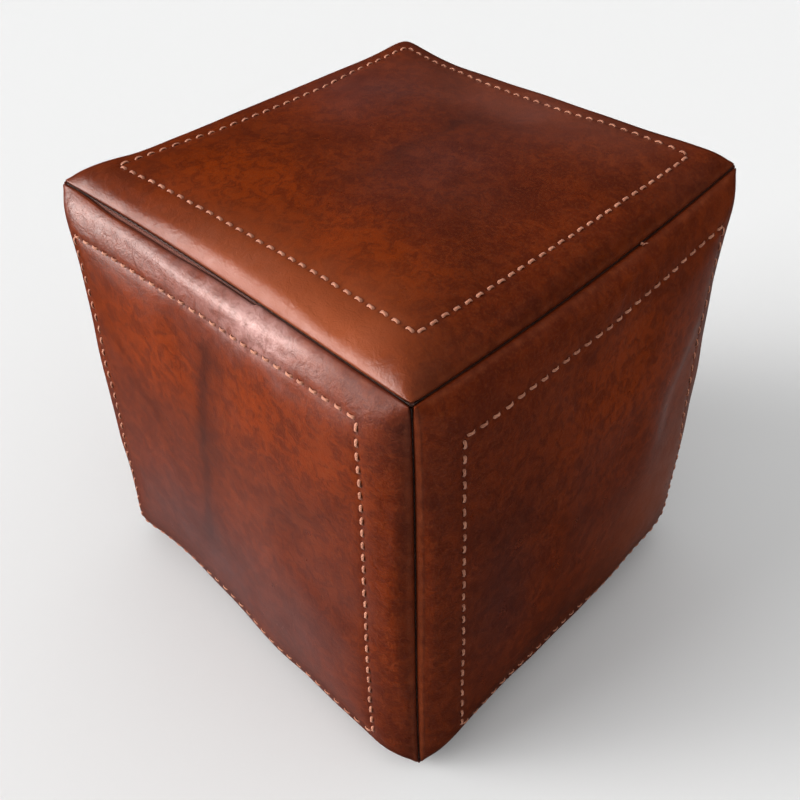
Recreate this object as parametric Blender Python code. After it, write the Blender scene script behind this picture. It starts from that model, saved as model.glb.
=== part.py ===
"""Square Moroccan leather pouf, stuffed, with a zip across its base.

Metres, +Z up. The origin is the centre of the footprint, on the plane the pouf stands on.
The front is -Y and the right side is +X. Five leather panels and a base in two halves are
sewn edge to edge over a narrow strip; each seam allowance is turned inwards.
"""
import math

import bmesh
import bpy
from mathutils import Vector

for leftover in list(bpy.data.objects):
    bpy.data.objects.remove(leftover, do_unlink=True)

# Driving dimensions
HALF = 0.1978                # half of the distance between opposite upright seams
HEIGHT = 0.4122              # base seam to top seam, at a corner
BASE_SEAM = 0.0149           # base seam above the floor
LEATHER = 0.002              # leather thickness
CLEAR = 0.0003               # gap kept between touching pieces

# Stuffed shape: each panel rolls over near its seams and crowns in its middle
ROLL_RISE = 0.0185
ROLL_REACH = 0.0105
CROWN = {"top": 0.0145, "front": 0.0065, "right": 0.013, "left": 0.014, "back": 0.014}

# Seams: turned-in allowance, the strip sewn between the panels, the sewing thread
SEAM_GAP = 0.0008            # panel edge to seam line, each side
CORNER_TRIM = 0.001          # extra trimmed off a panel's corner
ALLOWANCE = 0.006
MITRE_REACH = 0.009          # length over which an allowance turns into a corner's mitre
STRIP_THICK = 0.0012
STRIP_TOP = 0.0013
SEAM_THREAD = 0.0009
SEAM_THREAD_DEPTH = 0.0005

# Running stitch round each visible panel
STITCH_INSET = 0.0333
STITCH_THREAD = 0.0012

# Base and its zip, which lies in a shallow channel clear of the floor
FLAT_INSET = 0.030           # width of the border that rises to the base seam
CHANNEL_DEPTH = 0.007
CHANNEL_FLOOR = 0.008        # half width of the channel at full depth
CHANNEL_MOUTH = 0.024        # half width of the channel at floor level
ZIP_SLOT = 0.004             # half width of the slot between the base halves
END_SLOT = 0.0006            # half width where the halves close up past the zip's ends
ZIP_STITCH_X = 0.0062        # topstitching that holds the tape, from the middle
ZIP_THREAD = 0.0008
ZIP_HALF = 0.161
TAPE_THICK = 0.0008
TAPE_INNER = 0.0009
TAPE_OUTER = 0.014
COIL_INNER = 0.00075
COIL_OUTER = 0.00275
COIL_THICK = 0.0021
STOP_LENGTH = 0.0045
SLIDER_LENGTH = 0.009
SLIDER_HALF_WIDTH = 0.0045
SLIDER_REST = -0.150         # closed end, at the front
PULL_LENGTH = 0.026
PULL_HALF_WIDTH = 0.0032
PULL_THICK = 0.0012
METAL_BEVEL = 0.0002

# Inner bag and stuffing
BAG_THICK = 0.001
BAG_DEPTH = 0.004            # inside the panels, in the middle of a face
BAG_SEAM_DEPTH = 0.010
BAG_BASE_DEPTH = 0.0155
BAG_REACH = 0.020
BAG_MITRE = 0.060
STUFFING_GAP = 0.0005

# Corners leave the true cube where the stuffing has slumped: x, y, z in millimetres
CORNER_SHIFT = {
    (-1, -1, -1): (-8, -2, 0),
    (-1, -1, 1): (-4, -3, -1),
    (-1, 1, -1): (-4, -2, 0),
    (-1, 1, 1): (2, 2, 0),
    (1, -1, -1): (8, -4, -5),
    (1, -1, 1): (-6, -4, -2),
    (1, 1, -1): (-10, -4, 1),
    (1, 1, 1): (-13, -1, 4),
}

SWAY_GAIN = 2.6              # makes a seam's growth full at its greatest, three fifths of the way out
# Each seam: its two ends, the two outward directions it lies between, how far its middle is
# drawn in against each of them, and how much that grows towards its second end, in millimetres
SEAMS = {
    "top_front": ((-1, -1, 1), (1, -1, 1), (0, -1, 0), (0, 0, 1), (6, 3), (-1, 0)),
    "top_back": ((-1, 1, 1), (1, 1, 1), (0, 1, 0), (0, 0, 1), (5, 8), (-2, -2)),
    "top_left": ((-1, -1, 1), (-1, 1, 1), (-1, 0, 0), (0, 0, 1), (7, 6), (0, -1)),
    "top_right": ((1, -1, 1), (1, 1, 1), (1, 0, 0), (0, 0, 1), (1, 10), (0, 0)),
    "front_left": ((-1, -1, -1), (-1, -1, 1), (-1, 0, 0), (0, -1, 0), (3, 1), (0, 1)),
    "front_right": ((1, -1, -1), (1, -1, 1), (1, 0, 0), (0, -1, 0), (8, 8), (0, 1)),
    "back_left": ((-1, 1, -1), (-1, 1, 1), (-1, 0, 0), (0, 1, 0), (5, 5), (0, 0)),
    "back_right": ((1, 1, -1), (1, 1, 1), (1, 0, 0), (0, 1, 0), (-1, 4), (3, 1)),
    "base_front": ((-1, -1, -1), (1, -1, -1), (0, -1, 0), (0, 0, -1), (2, 1), (-5, -3)),
    "base_back": ((-1, 1, -1), (1, 1, -1), (0, 1, 0), (0, 0, -1), (4, 4), (0, 0)),
    "base_left": ((-1, -1, -1), (-1, 1, -1), (-1, 0, 0), (0, 0, -1), (4, 4), (0, 0)),
    "base_right": ((1, -1, -1), (1, 1, -1), (1, 0, 0), (0, 0, -1), (-3, 1), (-2, -3)),
}

# Each face: outward direction, its u and v directions, the seams at v = -1 and +1
# (which run along u), then the seams at u = -1 and +1 (which run along v)
FACES = {
    "top": ((0, 0, 1), (1, 0, 0), (0, 1, 0), ("top_front", "top_back"), ("top_left", "top_right")),
    "front": ((0, -1, 0), (1, 0, 0), (0, 0, 1), ("base_front", "top_front"), ("front_left", "front_right")),
    "back": ((0, 1, 0), (1, 0, 0), (0, 0, 1), ("base_back", "top_back"), ("back_left", "back_right")),
    "right": ((1, 0, 0), (0, 1, 0), (0, 0, 1), ("base_right", "top_right"), ("front_right", "back_right")),
    "left": ((-1, 0, 0), (0, 1, 0), (0, 0, 1), ("base_left", "top_left"), ("front_left", "back_left")),
    "base": ((0, 0, -1), (1, 0, 0), (0, 1, 0), ("base_front", "base_back"), ("base_left", "base_right")),
}

# Grid lines of a panel, as distances from the seam
SPAN_LINES = (0.062, 0.100, 0.148)
EDGE_LINES = (SEAM_GAP, LEATHER, LEATHER + CLEAR, 0.007, 0.016, STITCH_INSET) + SPAN_LINES


# ---------------------------------------------------------------- materials

def material(name, colour, roughness, metallic=0.0):
    made = bpy.data.materials.new(name)
    made.use_nodes = True
    shader = made.node_tree.nodes["Principled BSDF"]
    shader.inputs["Base Color"].default_value = (*colour, 1.0)
    shader.inputs["Roughness"].default_value = roughness
    shader.inputs["Metallic"].default_value = metallic
    made.diffuse_color = (*colour, 1.0)
    return made


TAN_LEATHER = material("waxed_tan_leather", (0.17, 0.045, 0.02), 0.38)
DARK_STRIP = material("dark_woven_strip", (0.075, 0.03, 0.018), 0.8)
CREAM_THREAD = material("cream_thread", (0.72, 0.5, 0.36), 0.75)
BROWN_THREAD = material("brown_thread", (0.09, 0.035, 0.02), 0.7)
CALICO = material("calico", (0.72, 0.66, 0.54), 0.9)
WADDING = material("cotton_wadding", (0.82, 0.8, 0.74), 1.0)
ZIP_TAPE = material("zip_tape", (0.06, 0.03, 0.02), 0.85)
ZIP_NYLON = material("zip_nylon", (0.08, 0.045, 0.03), 0.45)
BRASS = material("antique_brass", (0.42, 0.29, 0.12), 0.35, 1.0)


# ---------------------------------------------------------------- object helpers

def new_object(name, mesh_source, look, parent=None, location=(0.0, 0.0, 0.0)):
    """Turn a bmesh into a named object with outward faces, one material and a parent."""
    bmesh.ops.recalc_face_normals(mesh_source, faces=mesh_source.faces)
    mesh = bpy.data.meshes.new(name)
    mesh_source.to_mesh(mesh)
    mesh_source.free()
    mesh.materials.append(look)
    made = bpy.data.objects.new(name, mesh)
    bpy.context.collection.objects.link(made)
    made.location = location
    made.parent = parent
    return made


def shade_round(made, angle=math.radians(35)):
    made.data.shade_smooth()
    made.data.set_sharp_from_angle(angle=angle)
    return made


def bevelled(made, width):
    edge = made.modifiers.new("edge", "BEVEL")
    edge.width = width
    edge.segments = 2
    edge.limit_method = "ANGLE"
    edge.angle_limit = math.radians(30)
    return made


def box_mesh(size, centre=(0.0, 0.0, 0.0)):
    mesh = bmesh.new()
    bmesh.ops.create_cube(mesh, size=1.0)
    bmesh.ops.scale(mesh, vec=size, verts=mesh.verts)
    bmesh.ops.translate(mesh, vec=centre, verts=mesh.verts)
    return mesh


def extruded_outline(outline, length):
    """Close an x-z outline and extrude it along y, centred on y = 0."""
    mesh = bmesh.new()
    verts = [mesh.verts.new((x, -length / 2, z)) for x, z in outline]
    face = mesh.faces.new(verts)
    grown = bmesh.ops.extrude_face_region(mesh, geom=[face])["geom"]
    moved = [item for item in grown if isinstance(item, bmesh.types.BMVert)]
    bmesh.ops.translate(mesh, vec=(0.0, length, 0.0), verts=moved)
    return mesh


# ---------------------------------------------------------------- the stuffed shape

def corner(signs):
    height = BASE_SEAM + (HEIGHT if signs[2] > 0 else 0.0)
    shift = Vector(CORNER_SHIFT[signs]) * 0.001
    return Vector((signs[0] * HALF, signs[1] * HALF, height)) + shift


def seam_point(name, t):
    """A point of a seam line, t from -1 at one corner to +1 at the other."""
    start, end, side_a, side_b, drawn, sway = SEAMS[name]
    point = corner(start).lerp(corner(end), (t + 1) / 2)
    bow = 0.001 * (1 - t * t)
    for side, middle, growth in zip((side_a, side_b), drawn, sway):
        point -= Vector(side) * (middle + SWAY_GAIN * growth * t) * bow
    return point


def distance_in(parameter):
    return (1 - abs(parameter)) * HALF


def rolled(parameter):
    return 1 - math.exp(-distance_in(parameter) / ROLL_REACH)


def border_ramp(parameter):
    """0 at a base seam, exactly 1 over the flat part of the base."""
    ramp = min(distance_in(parameter) / FLAT_INSET, 1.0)
    return 1 - (1 - ramp) ** 2


def smooth_step(value):
    value = min(max(value, 0.0), 1.0)
    return value * value * (3 - 2 * value)


def patch(low, high, first, last, a, b):
    """Coons patch: low and high run along a, first and last run along b, all from 0 to 1."""
    across = low(a) * (1 - b) + high(a) * b
    along = first(b) * (1 - a) + last(b) * a
    corners = (low(0) * (1 - b) + high(0) * b) * (1 - a) + (low(1) * (1 - b) + high(1) * b) * a
    return across + along - corners


def face_point(name, u, v):
    """A point of a face's outer surface, u and v from -1 to +1."""
    normal, _, _, along_u, along_v = FACES[name]
    point = patch(
        lambda a: seam_point(along_u[0], 2 * a - 1),
        lambda a: seam_point(along_u[1], 2 * a - 1),
        lambda b: seam_point(along_v[0], 2 * b - 1),
        lambda b: seam_point(along_v[1], 2 * b - 1),
        (u + 1) / 2, (v + 1) / 2)
    if name == "base":
        point.z *= 1 - border_ramp(u) * border_ramp(v)
        return point
    bulge = ROLL_RISE * rolled(u) * rolled(v) + CROWN[name] * (1 - u * u) * (1 - v * v)
    return point + Vector(normal) * bulge


def mitre(parameter, reach):
    return math.copysign(1 - smooth_step(distance_in(parameter) / reach), parameter)


def face_inward(name, u, v, reach=MITRE_REACH):
    """Direction into the pouf: square to the face, turning to the mitre at its seams."""
    normal, dir_u, dir_v, _, _ = FACES[name]
    return -(Vector(normal) + Vector(dir_u) * mitre(u, reach) + Vector(dir_v) * mitre(v, reach))


def trimmed(parameter, other):
    """Round a panel's corner by trimming it where both borders are near."""
    near_corner = math.exp(-distance_in(other) / MITRE_REACH)
    return parameter * (1 - CORNER_TRIM * near_corner / HALF)


def grid_lines(lines=EDGE_LINES):
    left = [-1 + line / HALF for line in lines]
    return left + [0.0] + [-line for line in reversed(left)]


def is_allowance(parameter):
    return distance_in(parameter) <= LEATHER + 1e-6


# ---------------------------------------------------------------- leather panels

def layered_solid(outer, inner):
    """Close the space between two point grids of the same size."""
    mesh = bmesh.new()
    grids = [[[mesh.verts.new(p) for p in row] for row in grid] for grid in (outer, inner)]
    rows = len(outer)
    columns = len(outer[0])
    for grid in grids:
        for i in range(rows - 1):
            for j in range(columns - 1):
                mesh.faces.new((grid[i][j], grid[i + 1][j], grid[i + 1][j + 1], grid[i][j + 1]))
    top, bottom = grids
    rim = [(i, 0) for i in range(rows)]
    rim += [(rows - 1, j) for j in range(1, columns)]
    rim += [(i, columns - 1) for i in range(rows - 2, -1, -1)]
    rim += [(0, j) for j in range(columns - 2, 0, -1)]
    for (i, j), (k, m) in zip(rim, rim[1:] + rim[:1]):
        mesh.faces.new((top[i][j], top[k][m], bottom[k][m], bottom[i][j]))
    return mesh


def panel(face, parent):
    lines = grid_lines()
    outer = []
    inner = []
    for u in lines:
        outer_row = []
        inner_row = []
        for v in lines:
            point = face_point(face, trimmed(u, v), trimmed(v, u))
            depth = ALLOWANCE if is_allowance(u) or is_allowance(v) else LEATHER
            outer_row.append(point)
            inner_row.append(point + face_inward(face, u, v) * depth)
        outer.append(outer_row)
        inner.append(inner_row)
    made = new_object(face + "_panel", layered_solid(outer, inner), TAN_LEATHER, parent)
    return shade_round(made)


def channel_rise(x):
    """Height of the zip channel over the floor plane at a distance x from the middle."""
    slope = (CHANNEL_MOUTH - abs(x)) / (CHANNEL_MOUTH - CHANNEL_FLOOR)
    return CHANNEL_DEPTH * smooth_step(slope)


def slot_edge(v):
    """Half width of the slot between the base halves, v front to back."""
    past_zip = abs(v) * HALF - ZIP_HALF
    closing = smooth_step(past_zip / (HALF - ZIP_HALF - ALLOWANCE - LEATHER))
    return ZIP_SLOT + (END_SLOT - ZIP_SLOT) * closing


def base_half_point(side, a, v):
    """A point of one base half, a from 0 at the zip to 1 at the side seam, v front to back."""
    seam = "base_right" if side > 0 else "base_left"

    def along(edge, part):
        start = 0.0
        for _ in range(8):
            start -= (seam_point(edge, start).x - side * END_SLOT) / HALF
        return seam_point(edge, start + (side - start) * part)

    def front(part):
        return along("base_front", part)

    def back(part):
        return along("base_back", part)

    def zip_edge(b):
        point = front(0).lerp(back(0), b)
        point.x = side * slot_edge(2 * b - 1)
        return point

    def side_seam(b):
        return seam_point(seam, 2 * b - 1)

    point = patch(front, back, zip_edge, side_seam, a, (v + 1) / 2)
    level = border_ramp(a) * border_ramp(v)
    point.z = point.z * (1 - level) + channel_rise(point.x) * level
    return point


def base_half(side, parent):
    outer_lines = SPAN_LINES[::-1] + (FLAT_INSET, 0.018, 0.008) + EDGE_LINES[2::-1]
    crossing = [0.0, 0.02, 0.045, 0.07, 0.095, 0.122] + [1 - line / HALF for line in outer_lines]
    borders = EDGE_LINES[:3] + (0.008, 0.013, 0.022, FLAT_INSET, HALF - ZIP_HALF) + SPAN_LINES
    running = grid_lines(borders)
    outer = []
    inner = []
    for a in crossing:
        outer_row = []
        inner_row = []
        for v in running:
            point = base_half_point(side, trimmed(a, v), trimmed(v, a))
            if a < 0.5:
                point = base_half_point(side, a, v)
            allowance = is_allowance(v) or is_allowance(a)
            inward = face_inward("base", side * max(a, 0.01), v)
            outer_row.append(point)
            inner_row.append(point + inward * (ALLOWANCE if allowance else LEATHER))
        outer.append(outer_row)
        inner.append(inner_row)
    name = "base_panel_right" if side > 0 else "base_panel_left"
    return shade_round(new_object(name, layered_solid(outer, inner), TAN_LEATHER, parent))


# ---------------------------------------------------------------- strips and threads

def swept(points, frames, profile, closed):
    """Sweep a closed profile of (a, b) offsets along points; frames hold the two directions."""
    mesh = bmesh.new()
    rings = []
    for point, (dir_a, dir_b) in zip(points, frames):
        rings.append([mesh.verts.new(point + dir_a * a + dir_b * b) for a, b in profile])
    pairs = list(zip(rings, rings[1:]))
    if closed:
        pairs.append((rings[-1], rings[0]))
    else:
        mesh.faces.new(rings[0])
        mesh.faces.new(rings[-1])
    for ring, after in pairs:
        for k in range(len(profile)):
            n = (k + 1) % len(profile)
            mesh.faces.new((ring[k], ring[n], after[n], after[k]))
    return mesh


def seam_inward(name, t):
    side_a, side_b = SEAMS[name][2:4]
    start, end = SEAMS[name][:2]
    along = (Vector(end) - Vector(start)) / 2
    return -(Vector(side_a) + Vector(side_b) + along * mitre(t, MITRE_REACH))


def mitred_normals(points, inwards, closed):
    """Direction across a strip at each point, lengthened where the path turns."""
    count = len(points)
    normals = []
    for k in range(count):
        sides = []
        if closed or k > 0:
            sides.append((points[k] - points[k - 1]).cross(inwards[k]).normalized())
        if closed or k < count - 1:
            sides.append((points[(k + 1) % count] - points[k]).cross(inwards[k]).normalized())
        total = sum(sides, Vector())
        normals.append(total * len(sides) / total.length_squared)
    return normals


def loop_path(level):
    """Points and inward directions once round the top or the base seam."""
    route = ((level + "_front", 1), (level + "_right", 1), (level + "_back", -1), (level + "_left", -1))
    stations = [-1.0] + grid_lines()
    points = []
    inwards = []
    for name, way in route:
        for t in stations:
            points.append(seam_point(name, t * way))
            inwards.append(seam_inward(name, t * way))
    return points, inwards


def upright_path(name):
    """Points and inward directions up one corner seam, clear of the two loops."""
    ends = (MITRE_REACH, ) + EDGE_LINES[4:]
    stations = grid_lines(ends)
    return [seam_point(name, t) for t in stations], [seam_inward(name, t) for t in stations]


def rectangle(width, low, high):
    return [(-width / 2, low), (width / 2, low), (width / 2, high), (-width / 2, high)]


def seam_pieces(parent):
    """The strip and the sewing thread of each seam: two loops and four uprights."""
    routes = {"top": loop_path("top") + (True,), "base": loop_path("base") + (True,)}
    for name in ("front_left", "front_right", "back_left", "back_right"):
        routes[name] = upright_path(name) + (False,)
    thread_high = SEAM_THREAD_DEPTH + SEAM_THREAD / 2
    thread_low = SEAM_THREAD_DEPTH - SEAM_THREAD / 2
    for name, (points, inwards, closed) in routes.items():
        normals = mitred_normals(points, inwards, closed)
        frames = list(zip(normals, inwards))
        strip = swept(points, frames, rectangle(STRIP_THICK, STRIP_TOP, ALLOWANCE), closed)
        new_object("seam_strip_" + name, strip, DARK_STRIP, parent)
        thread = swept(points, frames, rectangle(SEAM_THREAD, thread_low, thread_high), closed)
        new_object("seam_thread_" + name, thread, BROWN_THREAD, parent)


def stitch_ring(face, parent):
    """The running-stitch thread of one panel, laid on the leather as a closed square."""
    lines = [line for line in grid_lines() if distance_in(line) >= STITCH_INSET - 1e-6]
    low = lines[0]
    high = lines[-1]
    corners = [(u, low) for u in lines[:-1]]
    corners += [(high, v) for v in lines[:-1]]
    corners += [(u, high) for u in reversed(lines[1:])]
    corners += [(low, v) for v in reversed(lines[1:])]
    points = [face_point(face, trimmed(u, v), trimmed(v, u)) for u, v in corners]
    normal = Vector(FACES[face][0])
    across = mitred_normals(points, [normal] * len(points), True)
    frames = [(side, normal) for side in across]
    lift = 1.5 * CLEAR
    profile = rectangle(STITCH_THREAD, lift, lift + STITCH_THREAD)
    new_object("stitching_" + face, swept(points, frames, profile, True), CREAM_THREAD, parent)


# ---------------------------------------------------------------- inner bag and stuffing

def inner_surface(extra, with_slot):
    """The six faces of the inner bag, joined, set in from the leather."""
    mesh = bmesh.new()
    lines = [-1.0, -0.93, -0.8, -0.45, 0.0, 0.45, 0.8, 0.93, 1.0]
    for name in FACES:
        middle_depth = BAG_BASE_DEPTH if name == "base" else BAG_DEPTH
        grid = []
        for u in lines:
            row = []
            for v in lines:
                near = math.exp(-min(distance_in(u), distance_in(v)) / BAG_REACH)
                depth = middle_depth + (BAG_SEAM_DEPTH - middle_depth) * near + extra
                inward = face_inward(name, u, v, BAG_MITRE)
                row.append(mesh.verts.new(face_point(name, u, v) + inward * depth))
            grid.append(row)
        for i in range(len(lines) - 1):
            for j in range(len(lines) - 1):
                slot = name == "base" and i in (3, 4) and j in (3, 4)
                if not (slot and with_slot):
                    mesh.faces.new((grid[i][j], grid[i + 1][j], grid[i + 1][j + 1], grid[i][j + 1]))
    bmesh.ops.remove_doubles(mesh, verts=mesh.verts, dist=0.0001)
    loose = [vert for vert in mesh.verts if not vert.link_faces]
    bmesh.ops.delete(mesh, geom=loose, context="VERTS")
    return mesh


def inner_bag(parent):
    made = new_object("inner_bag", inner_surface(0.0, True), CALICO, parent)
    wall = made.modifiers.new("wall", "SOLIDIFY")
    wall.thickness = BAG_THICK
    wall.offset = -1.0
    return shade_round(made)


def stuffing(parent):
    mesh = inner_surface(BAG_THICK + STUFFING_GAP, False)
    return shade_round(new_object("stuffing", mesh, WADDING, parent))


# ---------------------------------------------------------------- zip

TAPE_BOTTOM = CHANNEL_DEPTH + LEATHER + CLEAR
COIL_TOP = TAPE_BOTTOM - CLEAR
COIL_MID = COIL_TOP - COIL_THICK / 2


def zip_halves(parent):
    """Woven tape, nylon coil, front stop and topstitching of each half of the zip."""
    coil_front = -ZIP_HALF + STOP_LENGTH + CLEAR
    coil_back = ZIP_HALF - STOP_LENGTH - CLEAR
    coil_length = coil_back - coil_front
    coil_middle = (coil_front + coil_back) / 2
    for side, label in ((-1, "left"), (1, "right")):
        tape_size = (TAPE_OUTER - TAPE_INNER, 2 * ZIP_HALF, TAPE_THICK)
        tape_at = (side * (TAPE_OUTER + TAPE_INNER) / 2, 0.0, TAPE_BOTTOM + TAPE_THICK / 2)
        new_object("zip_tape_" + label, box_mesh(tape_size, tape_at), ZIP_TAPE, parent)
        across = side * (COIL_OUTER + COIL_INNER) / 2
        coil_size = (COIL_OUTER - COIL_INNER, coil_length, COIL_THICK)
        coil = box_mesh(coil_size, (across, coil_middle, COIL_MID))
        new_object("zip_coil_" + label, coil, ZIP_NYLON, parent)
        stop_size = (COIL_OUTER - COIL_INNER, STOP_LENGTH, COIL_THICK)
        stop = box_mesh(stop_size, (across, -ZIP_HALF + STOP_LENGTH / 2, COIL_MID))
        bevelled(new_object("zip_front_stop_" + label, stop, BRASS, parent), METAL_BEVEL)
        thread_size = (ZIP_THREAD, 2 * ZIP_HALF, ZIP_THREAD)
        thread_at = (side * ZIP_STITCH_X, 0.0, CHANNEL_DEPTH - CLEAR - ZIP_THREAD / 2)
        thread = box_mesh(thread_size, thread_at)
        new_object("zip_stitching_" + label, thread, BROWN_THREAD, parent)
    back_size = (2 * COIL_OUTER, STOP_LENGTH, COIL_THICK)
    back_stop = box_mesh(back_size, (0.0, ZIP_HALF - STOP_LENGTH / 2, COIL_MID))
    bevelled(new_object("zip_back_stop", back_stop, BRASS, parent), METAL_BEVEL)


# Heights of the slider's parts over its own origin, which lies on the pull's axis
PULL_AXIS_Z = 0.0034
PLATE_BOTTOM = 0.0046 - PULL_AXIS_Z
PLATE_TOP = 0.0061 - PULL_AXIS_Z
INNER_PLATE_BOTTOM = 0.0106 - PULL_AXIS_Z
INNER_PLATE_TOP = 0.0120 - PULL_AXIS_Z
WEB = 0.00035
ARCH_HALF_WIDTH = 0.0008
ARCH_LEG_INNER = 0.0032
ARCH_LEG_OUTER = 0.0038
ARCH_TOP = -0.0012
ARCH_BOTTOM = -0.0018
EYE_HALF_WIDTH = 0.0014
EYE_END = 0.0045


def arch_mesh():
    """The loop on the slider's outer plate that carries the pull, an outline in y and z."""
    root = PLATE_BOTTOM + 0.0005
    outline = [
        (-ARCH_LEG_OUTER, root), (-ARCH_LEG_OUTER, ARCH_BOTTOM),
        (ARCH_LEG_OUTER, ARCH_BOTTOM), (ARCH_LEG_OUTER, root),
        (ARCH_LEG_INNER, root), (ARCH_LEG_INNER, ARCH_TOP),
        (-ARCH_LEG_INNER, ARCH_TOP), (-ARCH_LEG_INNER, root),
    ]
    mesh = extruded_outline(outline, 2 * ARCH_HALF_WIDTH)
    for vert in mesh.verts:
        vert.co = Vector((vert.co.y, vert.co.x, vert.co.z))
    return mesh


def zip_slider(parent):
    """Two plates joined by a thin web between the coils, with an arch for the pull."""
    wide = SLIDER_HALF_WIDTH
    outline = [
        (-wide, PLATE_BOTTOM), (wide, PLATE_BOTTOM), (wide, PLATE_TOP), (WEB, PLATE_TOP),
        (WEB, INNER_PLATE_BOTTOM), (wide, INNER_PLATE_BOTTOM), (wide, INNER_PLATE_TOP),
        (-wide, INNER_PLATE_TOP), (-wide, INNER_PLATE_BOTTOM), (-WEB, INNER_PLATE_BOTTOM),
        (-WEB, PLATE_TOP), (-wide, PLATE_TOP),
    ]
    place = (0.0, SLIDER_REST, PULL_AXIS_Z)
    slider = new_object("zip_slider", extruded_outline(outline, SLIDER_LENGTH), BRASS, parent, place)
    arch = new_object("slider_arch", arch_mesh(), BRASS, parent, place)
    arch.hide_render = True
    arch.display_type = "WIRE"
    union = slider.modifiers.new("arch", "BOOLEAN")
    union.operation = "UNION"
    union.solver = "EXACT"
    union.object = arch
    return bevelled(slider, METAL_BEVEL)


def zip_pull(slider):
    """A flat pull with an eye round the arch; its origin is its pivot."""
    mesh = bmesh.new()
    half = PULL_THICK / 2
    tip = PULL_HALF_WIDTH * 0.6
    outer = [
        (-PULL_HALF_WIDTH, -half), (PULL_HALF_WIDTH, -half),
        (PULL_HALF_WIDTH, PULL_LENGTH - tip), (tip, PULL_LENGTH),
        (-tip, PULL_LENGTH), (-PULL_HALF_WIDTH, PULL_LENGTH - tip),
    ]
    eye = [
        (-EYE_HALF_WIDTH, half), (EYE_HALF_WIDTH, half),
        (EYE_HALF_WIDTH, EYE_END), (-EYE_HALF_WIDTH, EYE_END),
    ]
    edges = []
    for outline in (outer, eye):
        ring = [mesh.verts.new((x, y, -half)) for x, y in outline]
        edges += [mesh.edges.new((ring[k - 1], ring[k])) for k in range(len(ring))]
    bmesh.ops.triangle_fill(mesh, use_beauty=True, use_dissolve=False, edges=edges)
    grown = bmesh.ops.extrude_face_region(mesh, geom=list(mesh.faces))["geom"]
    moved = [item for item in grown if isinstance(item, bmesh.types.BMVert)]
    bmesh.ops.translate(mesh, vec=(0.0, 0.0, PULL_THICK), verts=moved)
    return bevelled(new_object("zip_pull", mesh, BRASS, slider), METAL_BEVEL)


# ---------------------------------------------------------------- assembly

def build():
    root = bpy.data.objects.new("pouf", None)
    bpy.context.collection.objects.link(root)
    for face in CROWN:
        panel(face, root)
        stitch_ring(face, root)
    base_half(-1, root)
    base_half(1, root)
    seam_pieces(root)
    inner_bag(root)
    stuffing(root)
    zip_halves(root)
    slider = zip_slider(root)
    zip_pull(slider)


build()
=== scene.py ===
"""Square Moroccan leather pouf: the looks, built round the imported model.

Each leather panel is swollen by cloth simulation between its seams, then gets its rolled and
turned-in edges, puckers and needle dimples. The stitches are separate lengths of twisted thread.
"""

import math

import bmesh
import bpy
import numpy as np
from mathutils import Matrix, Vector


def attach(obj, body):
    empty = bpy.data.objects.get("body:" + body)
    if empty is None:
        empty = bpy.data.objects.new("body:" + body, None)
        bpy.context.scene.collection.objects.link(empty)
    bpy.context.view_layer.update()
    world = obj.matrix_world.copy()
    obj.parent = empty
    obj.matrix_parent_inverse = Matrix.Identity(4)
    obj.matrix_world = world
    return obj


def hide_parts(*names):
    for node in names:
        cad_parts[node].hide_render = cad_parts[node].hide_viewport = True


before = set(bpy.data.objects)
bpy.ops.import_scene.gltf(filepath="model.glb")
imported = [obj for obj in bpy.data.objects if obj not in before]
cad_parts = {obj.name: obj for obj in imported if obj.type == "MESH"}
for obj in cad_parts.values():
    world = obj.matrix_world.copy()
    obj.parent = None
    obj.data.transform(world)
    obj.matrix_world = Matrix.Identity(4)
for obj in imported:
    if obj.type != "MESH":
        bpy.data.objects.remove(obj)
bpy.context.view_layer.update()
MM = 0.001

# ------------ the stuffed shape, as in the CAD

HALF = 0.1978
HEIGHT = 0.4122
BASE_SEAM = 0.0149
ROLL_RISE = 0.0185
ROLL_REACH = 0.0105
CROWN = {"top": 0.0145, "front": 0.0065, "right": 0.013, "left": 0.014, "back": 0.014}
MITRE_REACH = 0.009
FLAT_INSET = 0.030
CHANNEL_DEPTH = 0.007
CHANNEL_FLOOR = 0.008
CHANNEL_MOUTH = 0.024
ZIP_SLOT = 0.004
END_SLOT = 0.0006
ZIP_HALF = 0.161
TAPE_TAIL = 0.018
STITCH_INSET = 0.0333

CORNER_SHIFT = {
    (-1, -1, -1): (-8, -2, 0),
    (-1, -1, 1): (-4, -3, -1),
    (-1, 1, -1): (-4, -2, 0),
    (-1, 1, 1): (2, 2, 0),
    (1, -1, -1): (8, -4, -5),
    (1, -1, 1): (-6, -4, -2),
    (1, 1, -1): (-10, -4, 1),
    (1, 1, 1): (-13, -1, 4),
}

# How far each seam's middle is drawn in against the face of its second name and that of its
# first, and how much that grows towards its far end, in millimetres
SWAY_GAIN = 2.6              # makes the growth full at its greatest, three fifths of the way out
SEAMS = {
    "top_front": ((6, 3), (-1, 0)), "top_back": ((5, 8), (-2, -2)),
    "top_left": ((7, 6), (0, -1)), "top_right": ((1, 10), (0, 0)),
    "front_left": ((3, 1), (0, 1)), "front_right": ((8, 8), (0, 1)),
    "back_left": ((5, 5), (0, 0)), "back_right": ((-1, 4), (3, 1)),
    "base_front": ((2, 1), (-5, -3)), "base_back": ((4, 4), (0, 0)),
    "base_left": ((4, 4), (0, 0)), "base_right": ((-3, 1), (-2, -3)),
}

SIDES = (("left", "right"), ("front", "back"), ("base", "top"))    # at -1 and +1 of x, y and z


def face_layout(name):
    """Outward, u and v directions; seams at v = -1 and +1 (along u), then at u = -1 and +1."""
    axis = [name in pair for pair in SIDES].index(True)
    across, up = (k for k in range(3) if k != axis)
    unit_axes = np.eye(3, dtype=int)

    def seams(other):
        return ["_".join((name, side) if axis > other else (side, name)) for side in SIDES[other]]

    outward = unit_axes[axis] * (1 if name == SIDES[axis][1] else -1)
    return outward, unit_axes[across], unit_axes[up], seams(up), seams(across)


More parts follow.
